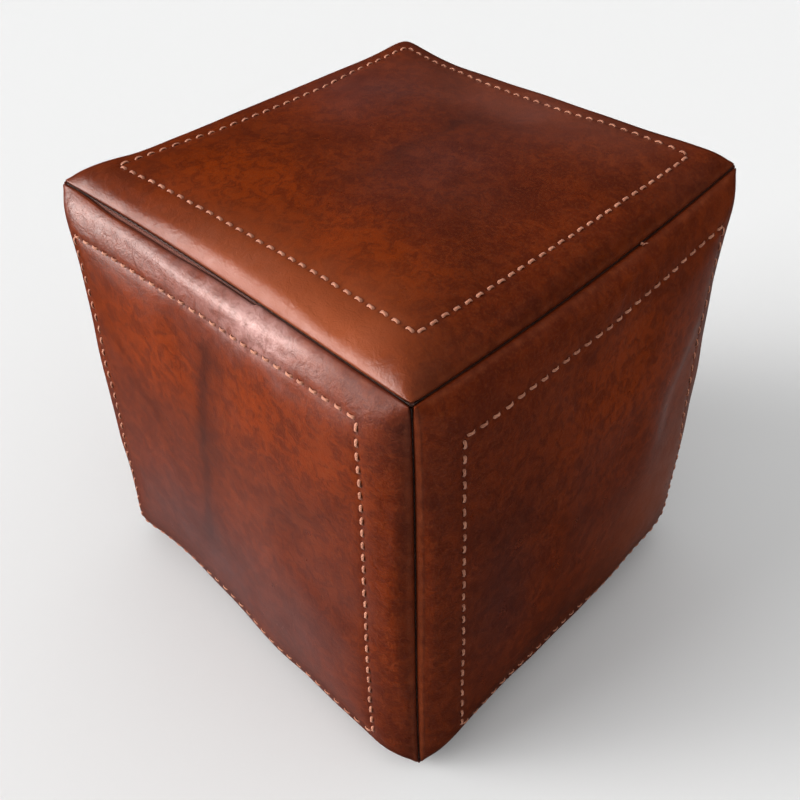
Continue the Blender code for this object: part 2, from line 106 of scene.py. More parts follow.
FACES = {name: face_layout(name) for name in ("top", "front", "back", "right", "left", "base")}

# Leather edges at the seams
EDGE_GAP = 0.0002            # panel edge to seam line where the seam is tight
FOLD_START = 0.0015          # distance from the seam at which the edge starts to turn in
FOLD_DEPTH = 0.0022
ALLOWANCE = 0.006
CORNER_TRIM = 0.0016
CORNER_REACH = 0.0050
OPEN_GAP = 0.0020            # how far the front panel's edge has drawn away where the seam gapes

# Running stitches per side of each panel's ring, and the share of the pitch that the thread covers
STITCH_COUNT = {"top": 28, "front": 27, "right": 25, "left": 27, "back": 26}
STITCH_COVER = 0.54
THREAD_WIDE = 0.00130        # half width and half height of a stitch, pressed flat by wear
THREAD_HIGH = 0.00068

# The hand-laid rings are not quite square: corners in millimetres from the panel's middle,
# in the order (-u, -v), (+u, -v), (+u, +v), (-u, +v)
RING = {
    "top": ((-162.5, -166.5), (163.5, -159.0), (170.0, 160.5), (-164.5, 167.0)),
    "front": ((-181.0, -180.0), (163.5, -168.5), (162.5, 174.0), (-174.0, 165.0)),
    "right": ((-161.0, -169.0), (166.5, -169.5), (161.5, 169.5), (-167.5, 162.5)),
    "left": ((-164.5, -163.0), (165.0, -164.5), (164.0, 165.0), (-165.5, 166.0)),
    "back": ((-164.0, -164.5), (164.5, -163.5), (165.5, 164.5), (-164.5, 166.0)),
}


def plane(a, b):
    return np.meshgrid(a, b, indexing="ij")


def smooth_step(value):
    value = np.clip(value, 0.0, 1.0)
    return value * value * (3 - 2 * value)


def bell(x):
    return np.exp(-x ** 2)


def corner(signs):
    height = BASE_SEAM + (HEIGHT if signs[2] > 0 else 0.0)
    shift = np.array(CORNER_SHIFT[signs]) * MM
    return np.array((signs[0] * HALF, signs[1] * HALF, height)) + shift


def seam_point(name, t):
    """Points of a seam, t from -1 to +1 along the axis that its two faces share."""
    side_b, side_a = (FACES[part][0] for part in name.split("_"))
    middle = side_a + side_b
    low, high = (corner(tuple(middle + end * (middle == 0))) for end in (-1, 1))
    drawn, sway = SEAMS[name]
    t = np.asarray(t, float)[..., None]
    inward = side_a * (drawn[0] + SWAY_GAIN * sway[0] * t)
    inward = inward + side_b * (drawn[1] + SWAY_GAIN * sway[1] * t)
    return low + (high - low) * (t + 1) / 2 - inward * MM * (1 - t * t)


def distance_in(parameter):
    return (1 - np.abs(parameter)) * HALF


def rolled(parameter):
    return 1 - np.exp(-distance_in(parameter) / ROLL_REACH)


def patch(low, high, first, last, a, b):
    """Coons patch: low and high run along a, first and last along b, all from 0 to 1."""
    wa = np.asarray(a)[..., None]
    wb = np.asarray(b)[..., None]
    across = low(a) * (1 - wb) + high(a) * wb
    along = first(b) * (1 - wa) + last(b) * wa
    near, far = (low(end) * (1 - wb) + high(end) * wb for end in (np.zeros_like(a), np.ones_like(a)))
    return across + along - near * (1 - wa) - far * wa


def border_ramp(parameter):
    ramp = np.minimum(distance_in(parameter) / FLAT_INSET, 1.0)
    return 1 - (1 - ramp) ** 2


def face_point(name, u, v, crown_share=1.0):
    """Points of a face's outer surface, u and v from -1 to +1."""
    normal, _, _, along_u, along_v = FACES[name]
    u, v = np.broadcast_arrays(np.asarray(u, float), np.asarray(v, float))
    edges = [lambda a, seam=seam: seam_point(seam, 2 * a - 1) for seam in (*along_u, *along_v)]
    points = patch(*edges, (u + 1) / 2, (v + 1) / 2)
    if name == "base":
        points[..., 2] *= 1 - border_ramp(u) * border_ramp(v)
        return points
    bulge = ROLL_RISE * rolled(u) * rolled(v)
    bulge = bulge + CROWN[name] * crown_share * (1 - u * u) * (1 - v * v)
    return points + normal * bulge[..., None]


def face_inward(name, u, v, reach=MITRE_REACH):
    """Direction into the pouf: square to the face, turning to the mitre at its seams."""
    normal, dir_u, dir_v, _, _ = FACES[name]

    def mitre(parameter):
        turned = 1 - smooth_step(distance_in(parameter) / reach)
        return (np.sign(parameter) * turned)[..., None]

    u, v = np.broadcast_arrays(np.asarray(u, float), np.asarray(v, float))
    return -(normal + dir_u * mitre(u) + dir_v * mitre(v))


def handed(name):
    """+1 where a face's u, v and outward directions make a right-handed set, else -1."""
    return np.dot(np.cross(*FACES[name][1:3]), FACES[name][0])


# ------------ small numeric tools

def ripple(x, y, seed):
    """Smooth noise of about -1 to 1 with features one unit across."""
    table = np.random.default_rng(seed).uniform(0, 2 * math.pi, (256, 256))
    ix, iy = np.floor(x).astype(int), np.floor(y).astype(int)
    fx, fy = x - ix, y - iy
    sx, sy = (f ** 3 * (f * (f * 6 - 15) + 10) for f in (fx, fy))

    def slope(dx, dy):
        angle = table[(ix + dx) & 255, (iy + dy) & 255]
        return np.cos(angle) * (fx - dx) + np.sin(angle) * (fy - dy)

    low = slope(0, 0) * (1 - sx) + slope(1, 0) * sx
    high = slope(0, 1) * (1 - sx) + slope(1, 1) * sx
    return 1.5 * (low * (1 - sy) + high * sy)


def spline_matrix(knots, at):
    """Matrix that turns values at the knots into a natural cubic spline's values at other places."""
    count = len(knots)
    step = np.diff(knots)
    curve, rise = np.zeros((2, count, count))
    curve[0, 0] = curve[-1, -1] = 1.0
    for k in range(1, count - 1):
        curve[k, k - 1:k + 2] = step[k - 1], 2 * (step[k - 1] + step[k]), step[k]
        rise[k, k - 1:k + 2] = 6 / step[k - 1], -6 / step[k - 1] - 6 / step[k], 6 / step[k]
    bend = np.linalg.solve(curve, rise)
    k = np.clip(np.searchsorted(knots, at) - 1, 0, count - 2)
    h = step[k][:, None]
    b = ((at - knots[k]) / step[k])[:, None]
    a = 1 - b
    eye = np.eye(count)
    return a * eye[k] + b * eye[k + 1] + ((a ** 3 - a) * bend[k] + (b ** 3 - b) * bend[k + 1]) * h ** 2 / 6


def unit(vectors):
    return vectors / np.maximum(np.linalg.norm(vectors, axis=-1, keepdims=True), 1e-12)


def grid_quads(rows, columns, wrap=False, flip=False):
    i, j = plane(np.arange(rows - 1), np.arange(columns if wrap else columns - 1))
    n = (j + 1) % columns
    low, high = i * columns, (i + 1) * columns
    quads = np.stack([low + j, high + j, high + n, low + n], -1).reshape(-1, 4)
    return quads[:, ::-1] if flip else quads


def load(collection, key, data, kind=np.float32):
    collection.foreach_set(key, np.ascontiguousarray(data, kind).ravel())


def new_mesh(name, points, quads, look, body="pouf", uv=None, values=None):
    """A piece from arrays, with optional UVs in metres and named per-point values."""
    mesh = bpy.data.meshes.new(name)
    points = points.reshape(-1, 3)
    mesh.vertices.add(len(points))
    load(mesh.vertices, "co", points)
    mesh.loops.add(quads.size)
    load(mesh.loops, "vertex_index", quads, np.int32)
    mesh.polygons.add(len(quads))
    load(mesh.polygons, "loop_start", np.arange(0, quads.size, quads.shape[1]), np.int32)
    mesh.update(calc_edges=True)
    mesh.validate()
    load(mesh.polygons, "use_smooth", np.full(len(mesh.polygons), True), bool)
    if uv is not None:
        load(mesh.uv_layers.new(name="cloth_metres").data, "uv", uv.reshape(-1, 2)[quads.ravel()])
    for key, data in (values or {}).items():
        load(mesh.attributes.new(key, "FLOAT", "POINT").data, "value", data)
    mesh.materials.append(look)
    piece = bpy.data.objects.new(name, mesh)
    bpy.context.collection.objects.link(piece)
    if body:
        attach(piece, body)
    return piece


# ------------ materials

COLOUR_A, COLOUR_B, COLOUR_OUT = 6, 7, 2        # a mix node's colour sockets


def put(tree, socket, value):
    if isinstance(value, bpy.types.NodeSocket):
        tree.links.new(value, socket)
    else:
        socket.default_value = value


def add_node(tree, kind, inputs, out=0, **settings):
    """One output of a new node, its settings made and its inputs set or linked."""
    node = tree.nodes.new("ShaderNode" + kind)
    for key, value in settings.items():
        setattr(node, key, value)
    for key, value in inputs.items():
        put(tree, node.inputs[key], value)
    return node.outputs[out]


class Nodes:
    """A short way to write a material's node tree."""

    def __init__(self, name):
        self.material = bpy.data.materials.new(name)
        self.material.use_nodes = True
        self.tree = self.material.node_tree
        self.shader = self.tree.nodes["Principled BSDF"]
        self.place = self.tree.nodes.new("ShaderNodeTexCoord").outputs["Object"]

    def add(self, kind, inputs, out=0, **settings):
        return add_node(self.tree, kind, inputs, out, **settings)

    def shade(self, **inputs):
        for key, value in inputs.items():
            put(self.tree, self.shader.inputs[key.replace("_", " ")], value)

    def value(self, name):
        return self.add("Attribute", {}, "Fac", attribute_name=name)

    def panel_tone_and_light(self):
        """Each panel's tone: partly its own leather, partly painted light that sets how light or dark its
        face comes out.
        """
        return self.add("CombineColor", {k: self.value("tone_and_light") for k in range(3)})

    def noise(self, scale, detail=3.0, rough=0.55, warp=0.0):
        inputs = {"Vector": self.place, "Scale": scale, "Detail": detail, "Roughness": rough,
                  "Distortion": warp}
        return self.add("TexNoise", inputs)

    def fit(self, value, low, high, to_low=0.0, to_high=1.0):
        inputs = {"Value": value, "From Min": low, "From Max": high, "To Min": to_low, "To Max": to_high}
        return self.add("MapRange", inputs)

    def times(self, a, b):
        return self.add("Math", {0: a, 1: b}, operation="MULTIPLY")

    def mix(self, share, a, b, blend="MIX"):
        a, b = (c if isinstance(c, bpy.types.NodeSocket) else (*c, 1.0) for c in (a, b))
        inputs = {"Factor": share, COLOUR_A: a, COLOUR_B: b}
        return self.add("Mix", inputs, COLOUR_OUT, data_type="RGBA", blend_type=blend)

    def bump(self, height, distance, strength=1.0, under=None):
        inputs = {"Height": height, "Distance": distance, "Strength": strength}
        if under is not None:
            inputs["Normal"] = under
        return self.add("Bump", inputs)


def leather_material():
    """Waxed tan leather: mottled dye, rubbed rims, satin wax and fine grain, with painted shade in the
    seams, folds and needle holes and a painted sheen, reflection veil and highlight.
    """
    n = Nodes("waxed_leather")
    clouds = n.noise(7.0, 3.0, 0.5)
    blotches = n.noise(27.0, 5.0, 0.62, warp=0.5)
    mottle = n.noise(95.0, 5.0, 0.68, warp=0.8)
    flecks = n.noise(430.0, 3.0, 0.6)
    colour = n.mix(n.fit(clouds, 0.3, 0.7), (0.126, 0.0155, 0.0016), (0.154, 0.0215, 0.0020))
    colour = n.mix(n.fit(blotches, 0.47, 0.62, 0.0, 0.75), colour, (0.086, 0.0100, 0.0018))
    colour = n.mix(n.fit(mottle, 0.43, 0.58, 0.72, 0.0), colour, (0.078, 0.0088, 0.0016))
    colour = n.mix(n.times(n.value("warm"), n.fit(mottle, 0.42, 0.58, 0.3, 1.15)),
                   colour, (0.198, 0.0245, 0.0006))
    colour = n.mix(n.fit(flecks, 0.5, 0.66, 0.0, 0.3), colour, (0.21, 0.046, 0.010))
    # Darker dye streaks and tone, also darker towards the bottom corners, and painted shade along the
    # right panel's edge lip
    colour = n.mix(n.times(n.value("shade"), 0.8), colour, (0.034, 0.0058, 0.0028))
    # Paler leather: rubbed rims that also carry a painted highlight, and patches of painted sheen
    colour = n.mix(n.value("pale"), colour, (0.29, 0.062, 0.018))
    # Painted reflection veil: greyish where the wax would mirror pale surroundings
    painted_veil_share = n.times(n.value("painted_veil"), n.fit(blotches, 0.3, 0.7, 1.25, 0.75))
    colour = n.mix(painted_veil_share, colour, (0.100, 0.075, 0.085))
    # Painted highlight: streaky pinkish white where the window would be reflected along the top roll
    streaks = n.noise(70.0, 4.0, 0.62, warp=1.2)
    painted_highlight_share = n.times(n.value("painted_highlight"), n.fit(streaks, 0.36, 0.62, 0.35, 1.0))
    colour = n.mix(painted_highlight_share, colour, (0.46, 0.250, 0.225))
    # Painted shade in the needle holes, the turned-in folds and along the seams
    colour = n.mix(n.value("painted_recess_shade"), colour, (0.058, 0.0110, 0.0048))
    # Each panel's tone, partly painted light that sets how light or dark its face comes out
    colour = n.mix(1.0, colour, n.panel_tone_and_light(), blend="MULTIPLY")
    crinkle = n.noise(105.0, 3.0, 0.6, warp=0.9)
    grain = n.add("TexVoronoi", {"Vector": n.place, "Scale": 640.0}, feature="F1")
    pores = n.noise(1500.0, 2.0, 0.5)
    wear = n.noise(46.0, 4.0, 0.65)
    roughness = n.add("Math", {0: n.fit(wear, 0.3, 0.7, 0.27, 0.38), 1: n.times(n.value("dull"), 0.3)})
    normal = n.bump(n.times(crinkle, n.fit(n.value("band"), 0.0, 1.0, 0.15, 1.0)), 0.0013, 0.6)
    normal = n.bump(mottle, 0.0004, 0.5, under=normal)
    normal = n.bump(grain, 0.00016, 0.45, under=normal)
    normal = n.bump(pores, 0.00008, 0.5, under=normal)
    n.shade(Base_Color=colour, Roughness=roughness, Normal=normal, IOR=1.42,
            Specular_Tint=(1.0, 0.76, 0.70, 1.0),
            Specular_IOR_Level=n.fit(n.value("warm"), 0.2, 0.9, 0.5, 0.3))
    return n.material


def thread_material(name, light, dark):
    n = Nodes(name)
    fibre = n.noise(1800.0, 2.0, 0.6)
    colour = n.mix(n.value("tone"), light, dark)
    # Painted shade in the grooves between the two plies
    colour = n.mix(n.fit(n.value("ply"), -1.0, -0.1, 0.45, 0.0), colour, tuple(c * 0.5 for c in dark))
    colour = n.mix(n.fit(fibre, 0.45, 0.7, 0.0, 0.35), colour, tuple(c * 0.6 for c in light))
    n.shade(Base_Color=colour, Roughness=0.7, Normal=n.bump(fibre, 0.0002, 0.5),
            Sheen_Weight=0.1, Sheen_Roughness=0.5)
    return n.material


def woven_material(name, light, dark, pitch):
    """Plain weave from two crossed ribbings, in UV metres."""
    n = Nodes(name)
    place = n.add("UVMap", {}, uv_map="cloth_metres")
    ribs = []
    for way in "XY":
        turn = n.times(n.add("SeparateXYZ", {0: place}, way), 2 * math.pi / pitch)
        ribs.append(n.add("Math", {0: turn}, operation="SINE"))
    height = n.times(*ribs)
    # Painted shade: the weave's crests lighter and its hollows darker, following its bump
    colour = n.mix(n.fit(height, -0.7, 0.7), dark, light)
    colour = n.mix(n.fit(n.noise(600.0), 0.35, 0.7, 0.0, 0.5), colour, dark)
    n.shade(Base_Color=colour, Roughness=0.85, Normal=n.bump(height, pitch * 0.12, 0.8), IOR=1.3)
    return n.material


def brass_material():
    n = Nodes("antique_brass")
    tarnish = n.fit(n.noise(420.0, 4.0, 0.6), 0.42, 0.66)
    colour = n.mix(tarnish, (0.48, 0.33, 0.14), (0.13, 0.085, 0.04))
    n.shade(Base_Color=colour, Metallic=1.0, Roughness=n.fit(tarnish, 0.0, 1.0, 0.26, 0.55),
            Normal=n.bump(n.noise(1500.0), 0.00008, 0.5))
    return n.material


def nylon_material():
    n = Nodes("zip_nylon")
    colour = n.mix(n.noise(500.0), (0.05, 0.028, 0.018), (0.09, 0.05, 0.03))
    n.shade(Base_Color=colour, Roughness=0.4, Normal=n.bump(n.noise(1200.0), 0.0001, 0.3))
    return n.material


def wadding_material():
    n = Nodes("cotton_wadding")
    fluff = n.noise(160.0, 6.0, 0.7, warp=1.0)
    # Painted shade: hollows of the fluff darker and its tufts lighter, following its bump
    colour = n.mix(n.fit(fluff, 0.3, 0.7), (0.62, 0.60, 0.54), (0.86, 0.84, 0.79))
    n.shade(Base_Color=colour, Roughness=1.0, Normal=n.bump(fluff, 0.004, 0.8), Sheen_Weight=0.5)
    return n.material


LEATHER = leather_material()
CREAM = thread_material("cream_thread", (0.50, 0.20, 0.115), (0.37, 0.13, 0.07))
BROWN = thread_material("brown_thread", (0.055, 0.02, 0.012), (0.03, 0.012, 0.008))
STRIP = woven_material("dark_woven_strip", (0.30, 0.11, 0.08), (0.06, 0.02, 0.014), 0.0015)
TAPE = woven_material("zip_tape", (0.09, 0.045, 0.03), (0.03, 0.015, 0.01), 0.0009)
CALICO = woven_material("calico", (0.74, 0.68, 0.56), (0.52, 0.46, 0.36), 0.0012)
WADDING = wadding_material()
NYLON = nylon_material()
BRASS = brass_material()


# ------------ swollen panels, by cloth simulation

SIM_FACES = ("top", "front", "right", "left", "back")
SWELL_CAP = 0.0025           # no point is moved further than this
SIM_FRAMES = 20
SIM_SEED = 11
SWELLING = {"quality": 6, "mass": 0.4, "tension_stiffness": 40, "compression_stiffness": 40,
            "shear_stiffness": 25, "bending_stiffness": 4.0, "use_pressure": True,
            "uniform_pressure_force": 4.0, "shrink_min": -0.012, "vertex_group_mass": "seam"}
FINEST = 24                  # highest order of fold kept from the simulation
FINE_LIMIT = 17.0            # folds tighter than this order fade out
BROAD_LIMIT = 5.5            # the broad bulge below this order is the design shape's own


def sim_lines():
    """Grid lines of the simulated panels: 4 mm apart at the seams, 8 mm in the middle."""
    lines = [0.0]
    while lines[-1] < HALF:
        lines.append(lines[-1] + 0.004 + 0.004 * min(lines[-1] / 0.08, 1.0))
    lines = np.array(lines) * HALF / lines[-1]
    left = lines / HALF - 1
    return np.concatenate([left, -left[-2::-1]])


def simulate_panels():
    """Inflate the panels against their pinned seams; return what is left past the design shape."""
    lines = sim_lines()
    count = len(lines)
    u, v = plane(lines, lines)
    rng = np.random.default_rng(SIM_SEED)
    inside = (np.abs(u) < 1) & (np.abs(v) < 1)
    verts, faces = [], []
    for k, name in enumerate(SIM_FACES):
        jitter = rng.normal(0, 0.0003, u.shape) * inside
        points = face_point(name, u, v, 0.6) + FACES[name][0] * jitter[..., None]
        verts.append(points.reshape(-1, 3))
        faces.append(grid_quads(count, count, flip=handed(name) < 0) + k * count * count)
    cover = new_mesh("cover_sim", np.concatenate(verts), np.concatenate(faces), LEATHER, body=None)
    pins = cover.vertex_groups.new(name="seam")
    pinned = np.flatnonzero(~np.tile(inside.ravel(), len(SIM_FACES)))
    pins.add([int(k) for k in pinned], 1.0, "REPLACE")
    cloth = cover.modifiers.new("swell", "CLOTH")
    for key, value in SWELLING.items():
        setattr(cloth.settings, key, value)
    cloth.settings.effector_weights.gravity = 0.0
    cloth.collision_settings.use_collision = False
    cloth.collision_settings.use_self_collision = False
    for number in range(1, SIM_FRAMES + 1):
        bpy.context.scene.frame_set(number)
    swollen = cover.evaluated_get(bpy.context.evaluated_depsgraph_get()).to_mesh()
    result = np.empty(len(swollen.vertices) * 3)
    swollen.vertices.foreach_get("co", result)
    result = result.reshape(len(SIM_FACES), count, count, 3)
    bpy.context.scene.frame_set(1)
    bpy.data.objects.remove(cover, do_unlink=True)
    degree = np.arange(FINEST + 1)
    legendre = np.polynomial.legendre.legvander2d(u, v, (FINEST, FINEST)).reshape(count * count, -1)
    order = np.hypot(degree[:, None], degree[None]).ravel()
    kept = np.exp(-(order / FINE_LIMIT) ** 4) * (1 - np.exp(-(order / BROAD_LIMIT) ** 6))
    edge = smooth_step(distance_in(u) / 0.012) * smooth_step(distance_in(v) / 0.012)
    left_over = {}
    for k, name in enumerate(SIM_FACES):
        moved = (result[k] - face_point(name, u, v)).reshape(-1, 3)
        weights = np.linalg.lstsq(legendre, moved, rcond=None)[0]
        fine = (legendre @ (weights * kept[:, None])).reshape(count, count, 3) * edge[..., None]
        size = np.linalg.norm(fine, axis=-1, keepdims=True)
        left_over[name] = fine * SWELL_CAP * np.tanh(size / SWELL_CAP) / np.maximum(size, 1e-9)
    return lines, left_over


SWELL_LINES, SWELL = simulate_panels()


# ------------ finished leather panels

FINE_STEP = 0.0008           # grid spacing at the seams and the stitches, and elsewhere
COARSE_STEP = 0.0017


def panel_lines():
    """Distances from the seam of a panel's grid lines, and how deep each is turned in."""
    lines = [(EDGE_GAP, ALLOWANCE), (EDGE_GAP, 0.0040)]
    for q in np.linspace(1.0, 0.12, 8):
        lines.append(((1 - q) ** 2 * FOLD_START + (1 - (1 - q) ** 2) * EDGE_GAP, q * q * FOLD_DEPTH))
    distance = FOLD_START
    while distance < HALF - 0.0006:
        lines.append((distance, 0.0))
        fine = distance < 0.014 or abs(distance - STITCH_INSET) < 0.0052
        distance += FINE_STEP if fine else COARSE_STEP
    return np.array(lines + [(HALF, 0.0)])


def both_ways(lines):
    """The lines from one seam to the middle and on to the other, and which half each is in."""
    return np.repeat((-1.0, 1.0), (len(lines), len(lines) - 1)), np.concatenate([lines, lines[-2::-1]])


def gape(t):
    """Share of OPEN_GAP along the top front seam: it gapes over its left half and ends in a step."""
    opening = smooth_step((t + 0.92) / 0.3)
    closing = 1 - 0.5 * smooth_step((t + 0.28) / 0.3)
    return opening * closing * np.where(t < 0.22, 1.0, 0.0)


def edge_shift(face, border, along, distance):
    """Extra distance of a panel's edge from one of its seams, fading into the panel."""
    drawn = face == "front" and border == "v+"
    return OPEN_GAP * gape(along) * np.exp(-distance / 0.010) if drawn else 0.0 * along


def pucker(along, distance, seed, size):
    """Soft creases square to a seam, strongest over its rolled edge."""
    reach = smooth_step(distance / 0.006) * bell(distance / 0.022)
    x = along / MM
    y = distance / MM
    bend = ripple(x / 31, y / 24, seed + 1) * 0.55
    broad = ripple(x / 21 + bend, y / 40, seed)
    narrow = ripple(x / 8.5 + 1.6 * bend, y / 22, seed + 2)
    strength = 0.5 + 0.5 * ripple(x / 60, y / 90, seed + 3)
    return size * reach * strength * (0.9 * broad - 0.45 * np.abs(narrow))


def ring_sides(name):
    """The four straight runs of a ring: start, direction, sideways direction and length, in mm."""
    corners = np.array(RING[name])
    for k in range(4):
        run = corners[(k + 1) % 4] - corners[k]
        length = float(np.linalg.norm(run))
        ahead = run / length
        yield corners[k], ahead, np.array((-ahead[1], ahead[0])), length


def ring_shape(name, u_mm, v_mm):
    """Depth of the sewn line and its needle dimples, and how near each point is to a hole."""
    depth = np.zeros_like(u_mm)
    hole = np.zeros_like(u_mm)
    for start, ahead, aside, length in ring_sides(name):
        along = (u_mm - start[0]) * ahead[0] + (v_mm - start[1]) * ahead[1]
        off = np.abs((u_mm - start[0]) * aside[0] + (v_mm - start[1]) * aside[1])
        pitch = length / STITCH_COUNT[name]
        on_side = smooth_step((along + 2.0) / 3.0) * smooth_step((length + 2.0 - along) / 3.0)
        phase = (along / pitch) % 1.0
        end = (1 - STITCH_COVER) / 2
        reach = np.minimum(np.abs(phase - end), np.abs(phase - 1 + end)) * pitch
        dimple = np.exp(-(off ** 2 + reach ** 2) / 1.5 ** 2) * on_side
        between = bell(np.minimum(phase, 1 - phase) * pitch / 2.2)
        line = bell(off / 4.2) * on_side
        proud = between * bell(off / 2.2) * on_side
        depth = np.maximum(depth, 0.50 * line + 0.5 * dimple - 0.16 * proud)
        hole = np.maximum(hole, dimple)
    return depth * MM, hole


SEAM_SEEDS = {name: 40 + 7 * k for k, name in enumerate(SEAMS)}
PUCKER_SIZE = {"top_front": 0.55, "top_right": 0.2, "front_left": 0.2}
PLAIN_PUCKER = 0.16


def edge_band(near):
    """The crinkled band of leather just in from a seam."""
    return bell((near - 0.014) / 0.016)


def panel_grid(name):
    """Finished surface of one panel: its points, outward normals and per-point values."""
    lines = panel_lines()
    sides, both = both_ways(lines)
    du, dv = plane(both[:, 0], both[:, 0])
    fu, fv = plane(both[:, 1], both[:, 1])
    su, sv = plane(sides, sides)
    trim_u = CORNER_TRIM * np.exp(-dv / CORNER_REACH) * np.exp(-du / 0.02)
    trim_v = CORNER_TRIM * np.exp(-du / CORNER_REACH) * np.exp(-dv / 0.02)
    raw_u = su * (1 - du / HALF)
    raw_v = sv * (1 - dv / HALF)
    top_shift = edge_shift(name, "v+", raw_u, dv) * (sv > 0)
    u = su * (1 - (du + trim_u) / HALF)
    v = sv * (1 - (dv + trim_v + top_shift) / HALF)
    points = face_point(name, u, v)
    if SWELL is not None:
        flat_u = np.clip(both[:, 0], 0, HALF)
        at = sides * (1 - flat_u / HALF)
        order = np.argsort(at, kind="stable")
        matrix = np.empty((len(at), len(SWELL_LINES)))
        matrix[order] = spline_matrix(SWELL_LINES, at[order])
        points = points + np.einsum("ik,klc,jl->ijc", matrix, SWELL[name], matrix)
    outward = unit(np.cross(np.gradient(points, axis=0), np.gradient(points, axis=1))) * handed(name)
    turned = np.maximum(fu, fv) > 0
    outward[turned] = -unit(face_inward(name, u, v))[turned]
    u_mm = raw_u * HALF / MM
    v_mm = raw_v * HALF / MM
    lift = np.zeros_like(u)
    for seams, along, gap, side in ((FACES[name][3], u_mm, dv, sv), (FACES[name][4], v_mm, du, su)):
        for seam, sign in zip(seams, (-1, 1)):
            near = gap * (side * sign > 0) + (side * sign < 0)
            size = PUCKER_SIZE.get(seam, PLAIN_PUCKER) * MM
            lift += pucker(along * MM, near, SEAM_SEEDS[seam], size)
    seed = 300 + 10 * SIM_FACES.index(name)
    middle = smooth_step(np.minimum(du, dv) / 0.05)
    lumps = ripple(u_mm / 95 + 3, v_mm / 80, seed)
    lumps = lumps + 0.5 * ripple(u_mm / 42, v_mm / 50 + 5, seed + 1)
    lift += 0.0005 * middle * lumps
    depth, hole = ring_shape(name, u_mm, v_mm)
    lift -= depth
    points = points + outward * lift[..., None]
    deep = np.sqrt(fu ** 2 + fv ** 2)
    points = points + face_inward(name, u, v) * deep[..., None]
    near = np.minimum(du, dv)
    # Painted shade: darker in the needle dimples, the turned-in folds and along the seams
    painted_recess_shade = np.clip(0.8 * hole + 0.9 * smooth_step(deep / 0.0032) + 0.3 * np.exp(-near / 0.0022), 0, 1)
    return {"points": points, "outward": outward, "u": both[:, 0], "side": sides, "band": edge_band(near),
            "painted_recess_shade": painted_recess_shade, "u_mm": u_mm, "v_mm": v_mm, "near": near}


# Patches of the hand-rubbed dye and of painted light, by kind: middle and reach along u and v in mm, and
# strength
DYE_AND_LIGHT = {
    "top": {"shade": ((-9, 68, 9, 36, 0.52), (-9, -10, 9, 42, 0.48), (6, 20, 30, 90, 0.2),
                  (95, 40, 70, 80, 0.22)),
     "warm": ((-85, -112, 80, 42, 0.9), (70, -128, 75, 34, 0.8), (-130, 20, 45, 70, 0.3),
                 (-20, -195, 120, 34, 0.45)),
     # the pale patches here are painted sheen along the front border and the far edge
     "pale": ((-150, -205, 60, 36, 0.12), (5, -205, 84, 52, 0.88), (120, -205, 65, 52, 1.0),
                 (10, 150, 120, 45, 0.33)),
     # a painted reflection veil
     "painted_veil": ((-120, 60, 60, 60, 0.19), (10, 140, 120, 50, 0.19), (30, 0, 60, 70, 0.1)),
     # a painted highlight along the front border
     "painted_highlight": ((0, -200, 60, 26, 0.08),),
     "dull": ((0, -205, 260, 22, 0.4),)},
    "front": {"warm": ((-95, 105, 70, 48, 1.0), (80, 128, 80, 36, 0.85), (60, 20, 80, 60, 0.25)),
     "shade": ((-70, -110, 110, 60, 0.26), (110, -60, 60, 110, 0.18), (-10, 128, 20, 26, 0.2),
                  # the last shade patch makes the leather darker towards the bottom corner
                  (185, -190, 60, 60, 0.35)),
     # a painted reflection veil over the lower front
     "painted_veil": ((-60, -120, 120, 85, 0.26), (90, -120, 70, 80, 0.14), (60, -20, 60, 60, 0.05)),
     "dull": ((170, 205, 62, 60, 1.0),),
     # a painted highlight along the top roll
     "painted_highlight": ((-15, 186, 60, 22, 0.4), (60, 188, 44, 20, 0.8))},
    "right": {"warm": ((30, 112, 105, 40, 1.0), (60, 50, 90, 60, 0.45)),
     "shade": ((-120, -10, 42, 130, 0.42), (-45, 124, 4, 5, 0.55), (110, -60, 60, 70, 0.1),
                  # the last shade patch makes the leather darker towards the bottom corner
                  (40, -150, 120, 30, 0.15), (-190, -190, 60, 70, 0.35)),
     # a painted reflection veil
     "painted_veil": ((90, -50, 70, 60, 0.08), (-120, -40, 40, 90, 0.07)),
     # the pale patches here are painted sheen over the lower right and along the far edge
     "pale": ((110, -90, 75, 70, 0.42), (160, 0, 45, 160, 0.2))},
    "left": {"warm": ((-60, 90, 90, 60, 0.7), (80, -40, 70, 60, 0.5)),
     "shade": ((30, 40, 16, 120, 0.4), (-110, -110, 80, 60, 0.3))},
    "back": {"warm": ((70, 100, 90, 50, 0.7), (-90, 10, 70, 70, 0.4)),
     "shade": ((-20, -30, 15, 130, 0.4), (110, -110, 70, 60, 0.3))},
}

# Lightness of each panel: partly its own leather, partly painted light that sets how light or dark each
# face comes out
PANEL_TONE_AND_LIGHT = {"top": 0.83, "front": 0.95, "right": 1.05, "left": 0.96, "back": 1.04}


